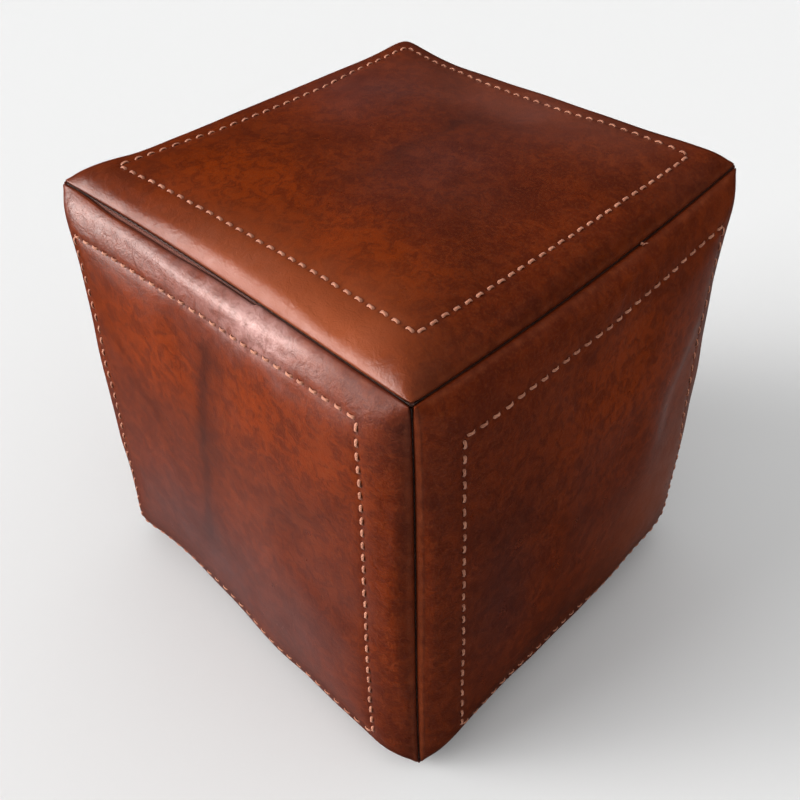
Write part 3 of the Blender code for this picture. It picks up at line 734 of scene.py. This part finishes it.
def panel_dye_and_light(name, grid):
    """The share of each kind of dye, wax and wear, and of painted shade, sheen, reflection veil and
    highlight, point by point.
    """
    u, v = grid["u_mm"], grid["v_mm"]
    seed = 900 + 10 * SIM_FACES.index(name)
    made = {"shade": 0.10 + 0.16 * ripple(u / 60, v / 80, seed),
            "warm": 0.14 + 0.22 * ripple(u / 85, v / 60, seed + 1),
            **{kind: 0.0 * u for kind in ("pale", "painted_veil", "dull", "painted_highlight")}}
    bend_u, bend_v = (place + 9 * ripple(u / 38, v / 38, first)
                      + 4 * ripple(u / 13, v / 13, first + 1)
                      for place, first in ((u, seed + 2), (v, seed + 4)))
    for kind, patches in DYE_AND_LIGHT[name].items():
        for at_u, at_v, reach_u, reach_v, strength in patches:
            far = ((bend_u - at_u) / reach_u) ** 2 + ((bend_v - at_v) / reach_v) ** 2
            made[kind] = made[kind] + strength * np.exp(-far)
    if name == "front":
        line = 9.6 * np.exp((v - 152) / 40) - 31.5 + 0.13 * v
        off = u + 2.0 * ripple(u / 12, v / 17, seed + 6) - line
        length = smooth_step((160 - v) / 25) * smooth_step((v + 135) / 60)
        streak = 0.46 * bell(off / 7.0) + 0.26 * bell((off - 8) / 18)
        made["shade"] = made["shade"] + length * streak
    # Painted shade along the right panel's edge lip, with a painted highlight just beside it
    if name == "right":
        lip = u + HALF / MM - 3.0 - 0.5 * ripple(v / 30, v / 19, seed + 6)
        made["shade"] = made["shade"] + 0.75 * bell(lip / 0.55)
        made["pale"] = made["pale"] + 0.16 * bell((lip + 1.5) / 0.8)
    made = {kind: np.clip(share, 0, 1) for kind, share in made.items()}
    made["tone_and_light"] = np.full_like(u, PANEL_TONE_AND_LIGHT[name])
    # Paler rims near the seams: partly rubbed wear, partly a painted highlight on the rolled edges
    rim_wear_and_highlight = bell((grid["near"] - 2.2 * MM) / (1.1 * MM))
    rim_wear_and_highlight = rim_wear_and_highlight * np.clip(0.5 + 0.6 * ripple(u / 9, v / 9, seed + 8), 0, 1)
    made["pale"] = made["pale"] + 0.35 * rim_wear_and_highlight * (1 - np.clip(grid["painted_recess_shade"] - 0.2, 0, 1))
    return made


def make_panel(name):
    grid = panel_grid(name)
    quads = grid_quads(*grid["near"].shape, flip=handed(name) < 0)
    uv = np.stack([grid["u_mm"], grid["v_mm"]], -1) * MM
    values = {"band": grid["band"], "painted_recess_shade": grid["painted_recess_shade"], **panel_dye_and_light(name, grid)}
    piece = new_mesh("leather_" + name, grid["points"], quads, LEATHER, uv=uv, values=values)
    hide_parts(name + "_panel")
    return grid


def sample(rows, grid, flat):
    """A panel's points or normals at places in millimetres from its middle."""
    at = grid["side"] * (HALF - grid["u"]) / MM

    def locate(value):
        k = np.clip(np.searchsorted(at, value) - 1, 0, len(at) - 2)
        return k, ((value - at[k]) / np.maximum(at[k + 1] - at[k], 1e-9))[..., None]

    (i, a), (j, b) = locate(flat[..., 0]), locate(flat[..., 1])
    low = rows[i, j] * (1 - a) + rows[i + 1, j] * a
    high = rows[i, j + 1] * (1 - a) + rows[i + 1, j + 1] * a
    return low * (1 - b) + high * b


# ------------ threads

def twisted_tubes(paths, outward, wide, high, twist, sides=10, relief=0.15):
    """Two-ply threads along paths of shape (threads, stations, 3), their ends left in their holes."""
    ahead = unit(np.gradient(paths, axis=1))
    up = unit(outward - ahead * (outward * ahead).sum(-1, keepdims=True))
    across = np.cross(ahead, up)
    steps = np.linalg.norm(np.diff(paths, axis=1), axis=-1)
    run = np.concatenate([np.zeros((len(paths), 1)), np.cumsum(steps, axis=1)], axis=1)
    angle = np.linspace(0, 2 * math.pi, sides, endpoint=False)
    lobes = np.cos(2 * (angle - math.pi * run[..., None] / twist))
    size = 1.02 - relief + relief * lobes
    ring = up[:, :, None] * (high * np.cos(angle))[:, None]
    ring = ring + across[:, :, None] * (wide * np.sin(angle))[:, None]
    points = paths[:, :, None] + ring * size[..., None]
    tubes, stations = paths.shape[:2]
    quads = grid_quads(stations, sides, wrap=True)
    quads = (quads[None] + (np.arange(tubes) * stations * sides)[:, None, None]).reshape(-1, 4)
    return points, quads, lobes


def ring_stitches(name, grid):
    """Every stitch of a panel's ring, each dipping into its needle holes at both ends."""
    count = STITCH_COUNT[name]
    total = 4 * count
    rng = np.random.default_rng(70 + SIM_FACES.index(name))
    share = np.sin(np.linspace(-1, 1, 19) * math.pi / 2) / 2
    rows = [(start + ahead * (length / count) * (k + 0.5), ahead, aside, length / count)
            for start, ahead, aside, length in ring_sides(name) for k in range(count)]
    starts, aheads, asides, pitches = (np.array(column)[:, None] for column in zip(*rows))
    length = (pitches[:, 0] * STITCH_COVER * rng.uniform(0.93, 1.06, total))[:, None, None]
    slip = rng.normal(0, 0.28, (total, 1, 1))
    drift = rng.normal(0, 0.22, (total, 1, 1))
    slant = rng.normal(0, 0.045, (total, 1, 1))
    along = share[None, :, None] * length
    flat = starts + aheads * (along + slip) + asides * (drift + slant * along)
    ground, outward = (sample(grid[key], grid, flat) for key in ("points", "outward"))
    height = 0.0005 + 0.0001 * rng.normal(0, 1, (total, 1)) - 0.0024 * np.abs(2 * share[None]) ** 10
    height = height + 0.0003 * (1 - np.abs(2 * share[None]) ** 2)
    paths = ground + outward * height[..., None]
    points, quads, ply = twisted_tubes(paths, outward, THREAD_WIDE, THREAD_HIGH, 0.0046, relief=0.07)
    tone = np.repeat(rng.uniform(0, 1, total), len(share) * 10)
    piece = new_mesh("stitches_" + name, points, quads, CREAM, values={"ply": ply, "tone": tone})
    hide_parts("stitching_" + name)


# ------------ seams: strip and sewing thread

SEAM_STATIONS = 380          # along each side of a seam


def face_of(seam, other):
    """The two faces a seam joins, and the places on them at a distance from it."""
    found = [(name, kind, 2 * k - 1) for name, face in FACES.items()
             for kind, along in (("v", face[3]), ("u", face[4])) for k in (0, 1) if along[k] == seam]
    return found[other]


def edge_points(seam, which, t, distance):
    """Points of one joined face at a distance from the seam, with its inward direction."""
    name, kind, sign = face_of(seam, which)
    trim = CORNER_TRIM * np.exp(-distance_in(t) / CORNER_REACH)
    shift = edge_shift(name, kind + ("+" if sign > 0 else "-"), t, 0.0 * t)
    border = sign * (1 - (distance + trim + shift) / HALF)
    along = t * (1 - trim / HALF)
    u, v = (along, border) if kind == "v" else (border, along)
    return face_point(name, u, v), face_inward(name, u, v)


def seam_frame(name):
    """Left and right panel edges, inward direction, running length and openness along a seam."""
    closed = name in ("top", "base")
    parts = []
    for part, way in zip(("_front", "_right", "_back", "_left"), (1, 1, -1, -1)) if closed else (("", 0),):
        seam = name + part
        t = np.linspace(-1, 1, SEAM_STATIONS, endpoint=False) * way
        if not closed:
            t = np.linspace(-0.985, 0.985, SEAM_STATIONS)
        left, inward = edge_points(seam, 0, t, EDGE_GAP)
        right, _ = edge_points(seam, 1, t, EDGE_GAP)
        parts.append((left, right, inward, gape(t) if seam == "top_front" else np.zeros_like(t)))
    left, right, inward, open_share = (np.concatenate(rows) for rows in zip(*parts))
    middle = (left + right) / 2
    run = np.concatenate([[0], np.cumsum(np.linalg.norm(np.diff(middle, axis=0), axis=1))])
    return left, right, inward, run, open_share, closed


def closed_rings(points, closed):
    """Quads of a sweep whose rings are closed; a closed route joins its ends."""
    count, sides = points.shape[:2]
    quads = grid_quads(count + closed, sides, wrap=True)
    return quads % (count * sides)


def make_seam(name):
    """The woven strip at the bottom of a seam, and the brown thread that sewed it."""
    left, right, inward, run, open_share, closed = seam_frame(name)
    wide = right - left
    share = np.linspace(-0.1, 1.1, 9)
    ribs = 0.00025 * open_share[:, None] * np.sin(2 * math.pi * (run[:, None] / 0.0031 - share * 1.1))
    depth = 0.0026 - 0.0014 * open_share[:, None] + 0.0010 * (2 * share - 1) ** 2 - ribs
    tops = left[:, None] + wide[:, None] * share[:, None] + inward[:, None] * depth[..., None]
    lows = left[:, None] + wide[:, None] * share[::-1][[0, 4, 8], None] + inward[:, None] * ALLOWANCE * 0.9
    points = np.concatenate([tops, lows], axis=1)
    uv = np.zeros(points.shape[:2] + (2,))
    uv[..., 0] = run[:, None]
    uv[:, :9, 1] = share * 0.0045
    quads = closed_rings(points, closed)
    strip = new_mesh("strip_" + name, points, quads, STRIP, uv=uv)
    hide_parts("seam_strip_" + name)
    sway = np.sin(2 * math.pi * run / 0.0064)
    place = left + wide * (0.5 - 0.32 * open_share + 0.08 * sway)[:, None]
    place = place + inward * (0.0021 - 0.0011 * open_share + 0.00025 * sway)[:, None]
    if closed:
        place = np.concatenate([place, place[:1]])
        inward = np.concatenate([inward, inward[:1]])
    points, quads, ply = twisted_tubes(place[None], -inward[None], 0.0004, 0.0004, 0.0022, sides=8)
    thread = new_mesh("sewing_" + name, points, quads, BROWN, values={"ply": ply, "tone": ply * 0 + 0.5})
    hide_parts("seam_thread_" + name)


def make_knot():
    """A thread end knotted and left standing on the right-hand top seam."""
    middle, inward = edge_points("top_right", 0, np.array([0.29]), -0.0002)
    turn = np.linspace(0, 2 * math.pi, 90)
    knot = np.stack([(0.9 + 0.45 * np.cos(3 * turn)) * np.cos(2 * turn),
                     (0.9 + 0.45 * np.cos(3 * turn)) * np.sin(2 * turn), 0.5 * np.sin(3 * turn)], -1)
    tail = np.linspace(0, 1, 30)[:, None] * np.array([[1.6, 2.8, 0.5]]) + knot[-1]
    tail[:, 2] += 0.5 * np.sin(np.linspace(0, math.pi, 30))
    path = np.concatenate([knot, tail[1:]]) * MM + middle[0] - inward[0] * 0.0011
    outward = np.zeros_like(path) + unit(-inward[0]) + np.array([0.01, 0.02, 0.0])
    points, quads, ply = twisted_tubes(path[None], outward[None], 0.00042, 0.00042, 0.002, sides=10)
    new_mesh("seam_knot", points, quads, CREAM, values={"ply": ply, "tone": ply * 0 + 0.3})


# ------------ base halves

HALVES = ((-1, "left"), (1, "right"))


def channel_rise(x):
    slope = (CHANNEL_MOUTH - np.abs(x)) / (CHANNEL_MOUTH - CHANNEL_FLOOR)
    return CHANNEL_DEPTH * smooth_step(slope)


def slot_edge(v):
    past_zip = np.abs(v) * HALF - ZIP_HALF
    closing = smooth_step(past_zip / 0.011)
    return ZIP_SLOT + (END_SLOT - ZIP_SLOT) * closing


def base_half_point(side, a, v):
    seam = "base_right" if side > 0 else "base_left"

    def along(edge, part):
        start = 0.0
        for _ in range(8):
            start -= (seam_point(edge, start)[..., 0] - side * END_SLOT) / HALF
        return seam_point(edge, start + (side - start) * part)

    front, back = (lambda part, edge=edge: along(edge, part) for edge in ("base_front", "base_back"))

    def zip_edge(b):
        points = front(0 * b) * (1 - b[..., None]) + back(0 * b) * b[..., None]
        points[..., 0] = side * slot_edge(2 * b - 1)
        return points

    points = patch(front, back, zip_edge, lambda b: seam_point(seam, 2 * b - 1), a, (v + 1) / 2)
    level = border_ramp(a) * border_ramp(v)
    points[..., 2] = points[..., 2] * (1 - level) + channel_rise(points[..., 0]) * level
    return points


def base_lift(side, x_mm, y_mm, near):
    """Soft unevenness of a base half, always lifting it off the floor."""
    waves = 0.6 + 0.7 * ripple(x_mm / 60, y_mm / 70, 600 + side)
    return 0.0007 * smooth_step(near / 0.02) * waves


def make_base_half(side, label):
    lines = panel_lines()
    lines = lines[(lines[:, 0] < 0.012) | (np.arange(len(lines)) % 2 == 0)]
    v_side, v_all = both_ways(lines)
    hem = np.array([(0.0, 0.0022), (0.0, 0.0014), (0.0003, 0.0007), (0.0009, 0.0002)])
    crossing = np.arange(0.0018, HALF - 0.012, 0.0016)
    roll = lines[::-1][lines[::-1][:, 0] < 0.012]
    a_distance = np.concatenate([hem[:, 0], crossing, HALF - roll[:, 0]])
    a_turn = np.concatenate([0 * hem[:, 0], 0 * crossing, roll[:, 1]])
    a_hem = np.concatenate([hem[:, 1], 0 * crossing, 0 * roll[:, 0]])
    a, v_d = plane(a_distance / HALF, v_all[:, 0])
    fa, fv = plane(a_turn, v_all[:, 1])
    ha, sv = plane(a_hem, v_side)
    v = sv * (1 - v_d / HALF)
    points = base_half_point(side, a, v)
    deep = np.sqrt(fa ** 2 + fv ** 2)
    inward = face_inward("base", side * np.maximum(a, 0.01), v)
    x_mm = points[..., 0] / MM
    y_mm = points[..., 1] / MM
    near = np.minimum((1 - a) * HALF, v_d)
    lift = base_lift(side, x_mm, y_mm, near)
    lift += (pucker(y_mm * MM, (1 - a) * HALF, 610 + side, 0.0002)
             + pucker(x_mm * MM, v_d, 620 + side, 0.0002))
    points[..., 2] += np.maximum(lift, 0.0)
    points = points + inward * deep[..., None]
    points[..., 2] += ha
    points[..., 0] += side * 0.6 * ha * (ha > 0.001)
    quads = grid_quads(*a.shape, flip=side > 0)
    # Painted shade: darker in the turned-in folds, along the hem and near the seams
    painted_recess_shade = smooth_step(deep / 0.0028) + 0.5 * smooth_step(ha / 0.002) + 0.3 * np.exp(-near / 0.0035)
    shade = np.clip(0.45 + 0.35 * ripple(x_mm / 110, y_mm / 90, 640 + side), 0, 1)
    uv = np.stack([x_mm, y_mm], -1) * MM
    values = {"band": edge_band(near), "painted_recess_shade": np.clip(painted_recess_shade, 0, 1), "shade": shade,
              "warm": 0.3 * (1 - shade), "tone_and_light": np.full_like(shade, 0.95), "pale": 0 * shade,
              "painted_veil": 0.04 + 0 * shade, "dull": 0.3 + 0 * shade, "painted_highlight": 0 * shade}
    piece = new_mesh("leather_base_" + label, points, quads, LEATHER, uv=uv, values=values)
    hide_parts("base_panel_" + label)


# ------------ zip

TAPE_INNER = 0.0009
TAPE_MIDDLE = 0.0097
TAPE_THIN = 0.00022          # half thickness of the tape
TAPE_BEAD = 0.00042          # half thickness of the tape's woven-in cord
COIL_Z = 0.00795
COIL_PITCH = 0.0014
COIL_NEAR = 0.00002          # the coil's bends, from the zip's middle line
COIL_FAR = 0.00245
COIL_RISE = 0.00072
COIL_WIRE = 0.00033
COIL_FRONT = -0.1562
COIL_BACK = 0.1562
TOPSTITCH_X = 0.0062
TOPSTITCH_PITCH = 0.0056


def make_tape(side, label):
    """Woven tape with a corded inner edge and a soft wave."""
    across = np.array([0.0, 0.0002, 0.0006, 0.0011, 0.0015, 0.004, 0.007, 0.010, 0.0127, 0.0131])
    thick = np.array([0.0001, 0.0003, TAPE_BEAD, 0.0003, *[TAPE_THIN] * 4, 0.0002, 0.00006])
    y = np.arange(-ZIP_HALF - TAPE_TAIL, ZIP_HALF + TAPE_TAIL, 0.0023)
    loop_x = np.concatenate([across, across[::-1]])
    loop_z = np.concatenate([-thick, thick[::-1]])
    yy, xx = plane(y, loop_x)
    _, zz = plane(y, loop_z)
    wave = 0.00012 * ripple(yy / 0.017, xx / 0.009, 700 + side) * smooth_step((xx - 0.001) / 0.003)
    points = np.stack([side * (TAPE_INNER + xx), yy, TAPE_MIDDLE + zz + wave], -1)
    quads = grid_quads(*xx.shape, wrap=True, flip=side < 0)
    tape = new_mesh("zip_weave_" + label, points, quads, TAPE, uv=np.stack([yy, xx], -1))
    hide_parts("zip_tape_" + label)


def make_coil(side, label):
    """One nylon coil: flattened turns whose bends lie between those of the other side."""
    turn = np.arange(COIL_FRONT, COIL_BACK, COIL_PITCH / 16) / COIL_PITCH
    phase = 2 * math.pi * turn + (math.pi if side > 0 else 0.0)
    swing = np.sign(np.cos(phase)) * np.abs(np.cos(phase)) ** 0.8
    x = (COIL_NEAR + COIL_FAR) / 2 - (COIL_FAR - COIL_NEAR) / 2 * swing
    path = np.stack([side * x, turn * COIL_PITCH, COIL_Z + COIL_RISE * np.sin(phase)], -1)
    outward = np.stack([side * (x - COIL_FAR / 2), 0 * x, path[:, 2] - COIL_Z], -1)
    points, quads, _ = twisted_tubes(path[None], unit(outward)[None], COIL_WIRE, COIL_WIRE, 1.0, sides=8)
    coil = new_mesh("zip_coil_turns_" + label, points, quads, NYLON)
    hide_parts("zip_coil_" + label)


def make_topstitch(side, label):
    """Brown running stitches that hold the tape under the base leather."""
    rng = np.random.default_rng(720 + side)
    start = np.arange(-ZIP_HALF + 0.002, ZIP_HALF - 0.005, TOPSTITCH_PITCH)
    share = np.linspace(0, 1, 12)
    y = start[:, None] + 0.0036 * share
    x = side * TOPSTITCH_X + rng.normal(0, 0.00008, (len(start), 1)) + 0 * y
    skin = CHANNEL_DEPTH + base_lift(side, x / MM, y / MM, np.full_like(x, 0.1))
    z = skin - 0.0003 + 0.0016 * np.abs(2 * share - 1) ** 6
    path = np.stack([x, y, z], -1)
    outward = np.zeros_like(path)
    outward[..., 2] = -1.0
    points, quads, ply = twisted_tubes(path, outward, 0.00042, 0.00036, 0.0019, sides=8)
    values = {"ply": ply, "tone": ply * 0 + 0.4}
    sewn = new_mesh("zip_topstitch_" + label, points, quads, BROWN, values=values)
    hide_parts("zip_stitching_" + label)


# ------------ inner bag and stuffing

BAG_DEPTH = 0.0045
BAG_SEAM_DEPTH = 0.0105
BAG_BASE_DEPTH = 0.0160
BAG_REACH = 0.020
BAG_MITRE = 0.060
BAG_GRID = 72


def filled_shape(extra, surface):
    """Six joined faces set in from the leather; surface gives how far each point sinks further."""
    line = np.sin(np.linspace(-1, 1, BAG_GRID + 1) * math.pi / 2)
    u, v = plane(line, line)
    points, quads, uv = [], [], []
    for k, name in enumerate(FACES):
        middle = BAG_BASE_DEPTH if name == "base" else BAG_DEPTH
        near = np.exp(-np.minimum(distance_in(u), distance_in(v)) / BAG_REACH)
        level = smooth_step(np.minimum(distance_in(u), distance_in(v)) / 0.012)
        depth = middle + (BAG_SEAM_DEPTH - middle) * near + extra
        depth = depth + level * surface(u * HALF / MM, v * HALF / MM, 800 + 10 * k)
        spot = face_point(name, u, v) + face_inward(name, u, v, BAG_MITRE) * depth[..., None]
        quads.append(grid_quads(*u.shape, flip=handed(name) < 0) + k * u.size)
        points.append(spot.reshape(-1, 3))
        uv.append(np.stack([u * HALF, v * HALF + k * 2.2 * HALF], -1).reshape(-1, 2))
    return np.concatenate(points), np.concatenate(quads), np.concatenate(uv)


def cloth_creases(u_mm, v_mm, seed):
    bend = 0.6 * ripple(u_mm / 60, v_mm / 60, seed + 1)
    fold = np.abs(ripple(u_mm / 34 + bend, v_mm / 55, seed))
    return 0.0011 * np.exp(-fold / 0.16) + 0.0006 * np.abs(ripple(u_mm / 13, v_mm / 16, seed + 2))


def wadding_lumps(u_mm, v_mm, seed):
    lump = ripple(u_mm / 26, v_mm / 29, seed) + 0.5 * ripple(u_mm / 11, v_mm / 10, seed + 1)
    tuft = np.abs(ripple(u_mm / 6, v_mm / 6.5, seed + 2))
    return 0.0034 * smooth_step(0.5 - 0.6 * lump) + 0.0009 * tuft


def make_filling():
    for piece_name, node_name, look, slot, extra, surface, fill in (
            ("calico_inner_bag", "inner_bag", CALICO, "calico", 0.0, cloth_creases, 0.9),
            ("wadding_filling", "stuffing", WADDING, "cotton_wadding", 0.0022, wadding_lumps, 0.8)):
        points, quads, uv = filled_shape(extra, surface)
        piece = new_mesh(piece_name, points, quads, look, uv=uv)
        mesh = bmesh.new()
        mesh.from_mesh(piece.data)
        bmesh.ops.remove_doubles(mesh, verts=mesh.verts, dist=0.00002)
        mesh.to_mesh(piece.data)
        mesh.free()
        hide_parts(node_name)


# ------------ camera, floor and light

def make_camera():
    azimuth = math.radians(43.94)
    elevation = math.radians(41.64)
    distance = 0.9624
    back = Vector((math.sin(azimuth) * math.cos(elevation), -math.cos(azimuth) * math.cos(elevation),
                   math.sin(elevation)))
    right = Vector((math.cos(azimuth), math.sin(azimuth), 0.0))
    up = back.cross(right)
    place = Vector((-0.004, -0.002, 0.1932)) + back * distance - right * 0.0046 - up * 0.0086
    data = bpy.data.cameras.new("camera")
    data.lens = 44.42
    data.sensor_width = 36.0
    camera = bpy.data.objects.new("camera", data)
    camera.matrix_world = Matrix(((*right, 0), (*up, 0), (*back, 0), (*place, 1))).transposed()
    bpy.context.collection.objects.link(camera)
    bpy.context.scene.camera = camera


WINDOW_LIGHT = 3.1
SKY_LIGHT = 2.4
DIM_GLOW = 0.015
WALL_GLOW = 0.9
GLOWS = (((-0.69, -0.70, 0.10), 0.08, 0.31, 13.0, 0.5), ((-0.50, -0.40, -0.76), 0.10, 0.45, 0.28),
         ((0.05, 0.80, -0.60), 0.05, 0.35, 0.20), ((-0.50, 0.78, 0.38), 0.05, 0.37, 0.06))


def glow_patch(tree, place, toward, core, reach, power, tall=1.0):
    """A soft bright patch of the surroundings; tall below one stretches it up and down."""
    offset = add_node(tree, "VectorMath", {0: place, 1: Vector(toward).normalized()}, operation="SUBTRACT")
    shape = add_node(tree, "VectorMath", {0: offset, 1: (1.0, 1.0, tall)}, operation="MULTIPLY")
    far = add_node(tree, "VectorMath", {0: shape}, "Value", operation="LENGTH")
    spread = {"Value": far, "From Min": core, "From Max": reach, "To Min": power, "To Max": 0.0}
    return add_node(tree, "MapRange", spread, interpolation_type="SMOOTHSTEP")


def make_world():
    """What the wax reflects: dim surroundings, a window low in front on the left, pale ground, and
    a little light from behind; the camera itself sees a plain pale wall."""
    world = bpy.data.worlds.new("studio")
    world.use_nodes = True
    tree = world.node_tree
    place = tree.nodes.new("ShaderNodeTexCoord").outputs["Generated"]
    total = DIM_GLOW
    for patch_of_light in GLOWS:
        total = add_node(tree, "Math", {0: total, 1: glow_patch(tree, place, *patch_of_light)})
    camera_ray = tree.nodes.new("ShaderNodeLightPath").outputs["Is Camera Ray"]
    seen = add_node(tree, "Mix", {"Factor": camera_ray, "A": total, "B": WALL_GLOW})
    background = tree.nodes["Background"].inputs
    put(tree, background["Strength"], seen)
    background["Color"].default_value = (1.0, 0.97, 0.96, 1.0)
    bpy.context.scene.world = world


def soft_sun(name, toward, power, spread, glossy=True):
    """Soft even light from one side of the sky."""
    data = bpy.data.lights.new(name, "SUN")
    data.energy = power
    data.angle = math.radians(spread)
    light = bpy.data.objects.new(name, data)
    light.rotation_euler = Vector(toward).to_track_quat("Z", "Y").to_euler()
    light.visible_glossy = glossy
    bpy.context.collection.objects.link(light)


def make_stage():
    floor_look = Nodes("pale_floor")
    floor_look.shade(Base_Color=(0.715, 0.72, 0.72, 1.0), Roughness=0.9)
    corners = np.array([(-6, -6, 0), (6, -6, 0), (6, 6, 0), (-6, 6, 0)], float)
    floor = new_mesh("floor", corners, np.array([[0, 1, 2, 3]]), floor_look.material, body=None)
    floor.visible_glossy = False
    make_world()
    soft_sun("window", (-0.56, -0.72, 0.34), WINDOW_LIGHT, 48)
    soft_sun("sky", (0.05, 0.05, 1.0), SKY_LIGHT, 140, glossy=False)


make_camera()
make_stage()
bpy.context.scene.view_settings.view_transform = "Standard"

for side_name in SIM_FACES:
    ring_stitches(side_name, make_panel(side_name))
for seam_name in ("top", "base", "front_left", "front_right", "back_left", "back_right"):
    make_seam(seam_name)
make_knot()
for half in HALVES:
    make_base_half(*half)
for half in HALVES:
    make_tape(*half)
    make_coil(*half)
    make_topstitch(*half)
make_filling()
for node_name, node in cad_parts.items():
    if node_name.startswith(("zip_slider", "zip_pull", "zip_front", "zip_back")):
        node.data.materials.clear()
        node.data.materials.append(BRASS)
